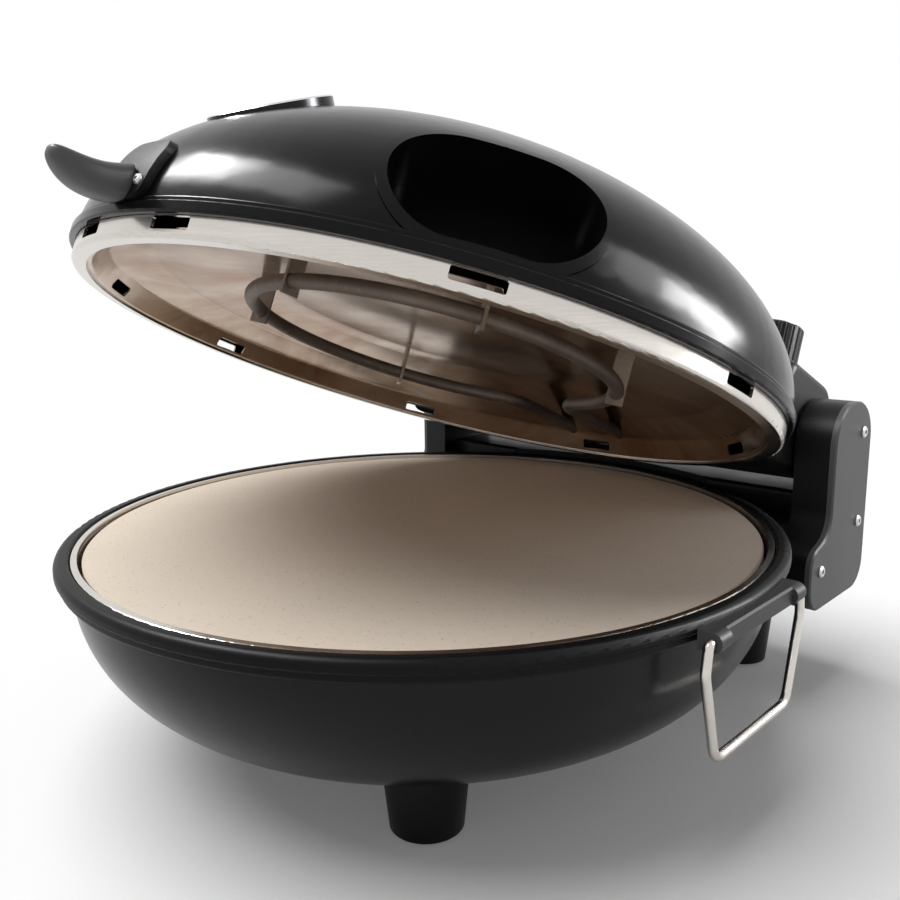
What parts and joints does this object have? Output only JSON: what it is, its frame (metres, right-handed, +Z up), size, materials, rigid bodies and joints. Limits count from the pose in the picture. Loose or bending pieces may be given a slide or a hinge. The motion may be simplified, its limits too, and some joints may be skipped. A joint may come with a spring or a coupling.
{
  "type": "electric pizza maker",
  "caption": "Round countertop pizza oven with a baking stone, heated base and a hinged dome lid with hand scoops, knobs and drop bails.",
  "frame": {"origin": "floor level, centre of the whole part's box at the stored half-open pose", "axes": "+X to the right seen from the front handle, +Y to the hinge at the back, +Z up"},
  "size_m": [0.3386, 0.3522, 0.2768],
  "materials": {
    "gloss_black": "gloss",
    "bowl_black": "satin gloss",
    "bright_steel": "polished",
    "reflector_steel": "polished, lightly drawn",
    "pan_steel": "heat tinted",
    "satin_steel": "satin",
    "stone": "rough, unglazed",
    "element": "oxidised",
    "black_plastic": "fine satin",
    "knob_plastic": "satin",
    "handle_grey": "satin metallic",
    "plate_grey": "satin metallic",
    "pad_rubber": "matt",
    "lamp_red": "translucent",
    "phenolic": "satin",
    "screw_steel": "bright"
  },
  "bodies": {
    "base": {"base_bowl": "bowl_black", "base_rim": "bowl_black", "base_trim_ring": "bright_steel", "base_reflector_pan": "pan_steel", "lower_element": "element", "lower_element_clips": "satin_steel", "foot_front_right": "black_plastic", "foot_front_left": "black_plastic", "foot_rear_right": "black_plastic", "foot_rear_left": "black_plastic", "foot_pads": "pad_rubber", "hinge_housing": "black_plastic", "hinge_housing_cover": "black_plastic", "hinge_cover_screws": "screw_steel", "hinge_plate_right": "plate_grey", "hinge_plate_left": "plate_grey", "hinge_plate_screws": "screw_steel", "hinge_pin_right": "satin_steel", "hinge_pin_left": "satin_steel", "hinge_washers": "satin_steel", "cord_gland": "pad_rubber", "terminal_block": "phenolic", "bail_bracket_right": "handle_grey", "bail_bracket_left": "handle_grey"},
    "stone": {"stone": "stone"},
    "lid": {"lid_dome": "gloss_black", "lid_rim_band": "bright_steel", "lid_reflector": "reflector_steel", "upper_element": "element", "upper_element_clips": "satin_steel", "grip_scoop_right": "gloss_black", "grip_scoop_left": "gloss_black", "badge_ring": "bright_steel", "badge_disc": "bright_steel", "handle_seat": "black_plastic", "lid_handle": "handle_grey", "handle_screws": "screw_steel", "control_housing": "black_plastic", "thermal_cutout": "phenolic", "thermostat_right": "phenolic", "thermostat_left": "phenolic", "lamp_lenses": "lamp_red"},
    "knob_right": {"knob_right": "knob_plastic", "knob_shaft_right": "satin_steel"},
    "knob_left": {"knob_left": "knob_plastic", "knob_shaft_left": "satin_steel"},
    "bail_right": {"bail_right": "bright_steel"},
    "bail_left": {"bail_left": "bright_steel"}
  },
  "joints": [
    {"name": "lid_hinge", "type": "hinge", "parent": "base", "child": "lid", "pos_m": [0, 0.15509, 0.122], "axis": [-1, 0, 0], "range_deg": [-22.5, 52.5]},
    {"name": "stone_lift", "type": "slide", "parent": "base", "child": "stone", "axis": [0, 0, 1], "range_m": [0, 0.007]},
    {"name": "knob_right_turn", "type": "hinge", "parent": "lid", "child": "knob_right", "pos_m": [0.094, 0.14755, 0.15868], "axis": [0, 0.3827, 0.9239], "range_deg": [0, 270]},
    {"name": "knob_left_turn", "type": "hinge", "parent": "lid", "child": "knob_left", "pos_m": [-0.094, 0.14755, 0.15868], "axis": [0, 0.3827, 0.9239], "range_deg": [0, 270]},
    {"name": "bail_right_swing", "type": "hinge", "parent": "base", "child": "bail_right", "pos_m": [0.1656, -0.01091, 0.0885], "axis": [0, -1, 0], "range_deg": [-18, 95]},
    {"name": "bail_left_swing", "type": "hinge", "parent": "base", "child": "bail_left", "pos_m": [-0.1656, -0.01091, 0.0885], "axis": [0, 1, 0], "range_deg": [-18, 95]}
  ]
}
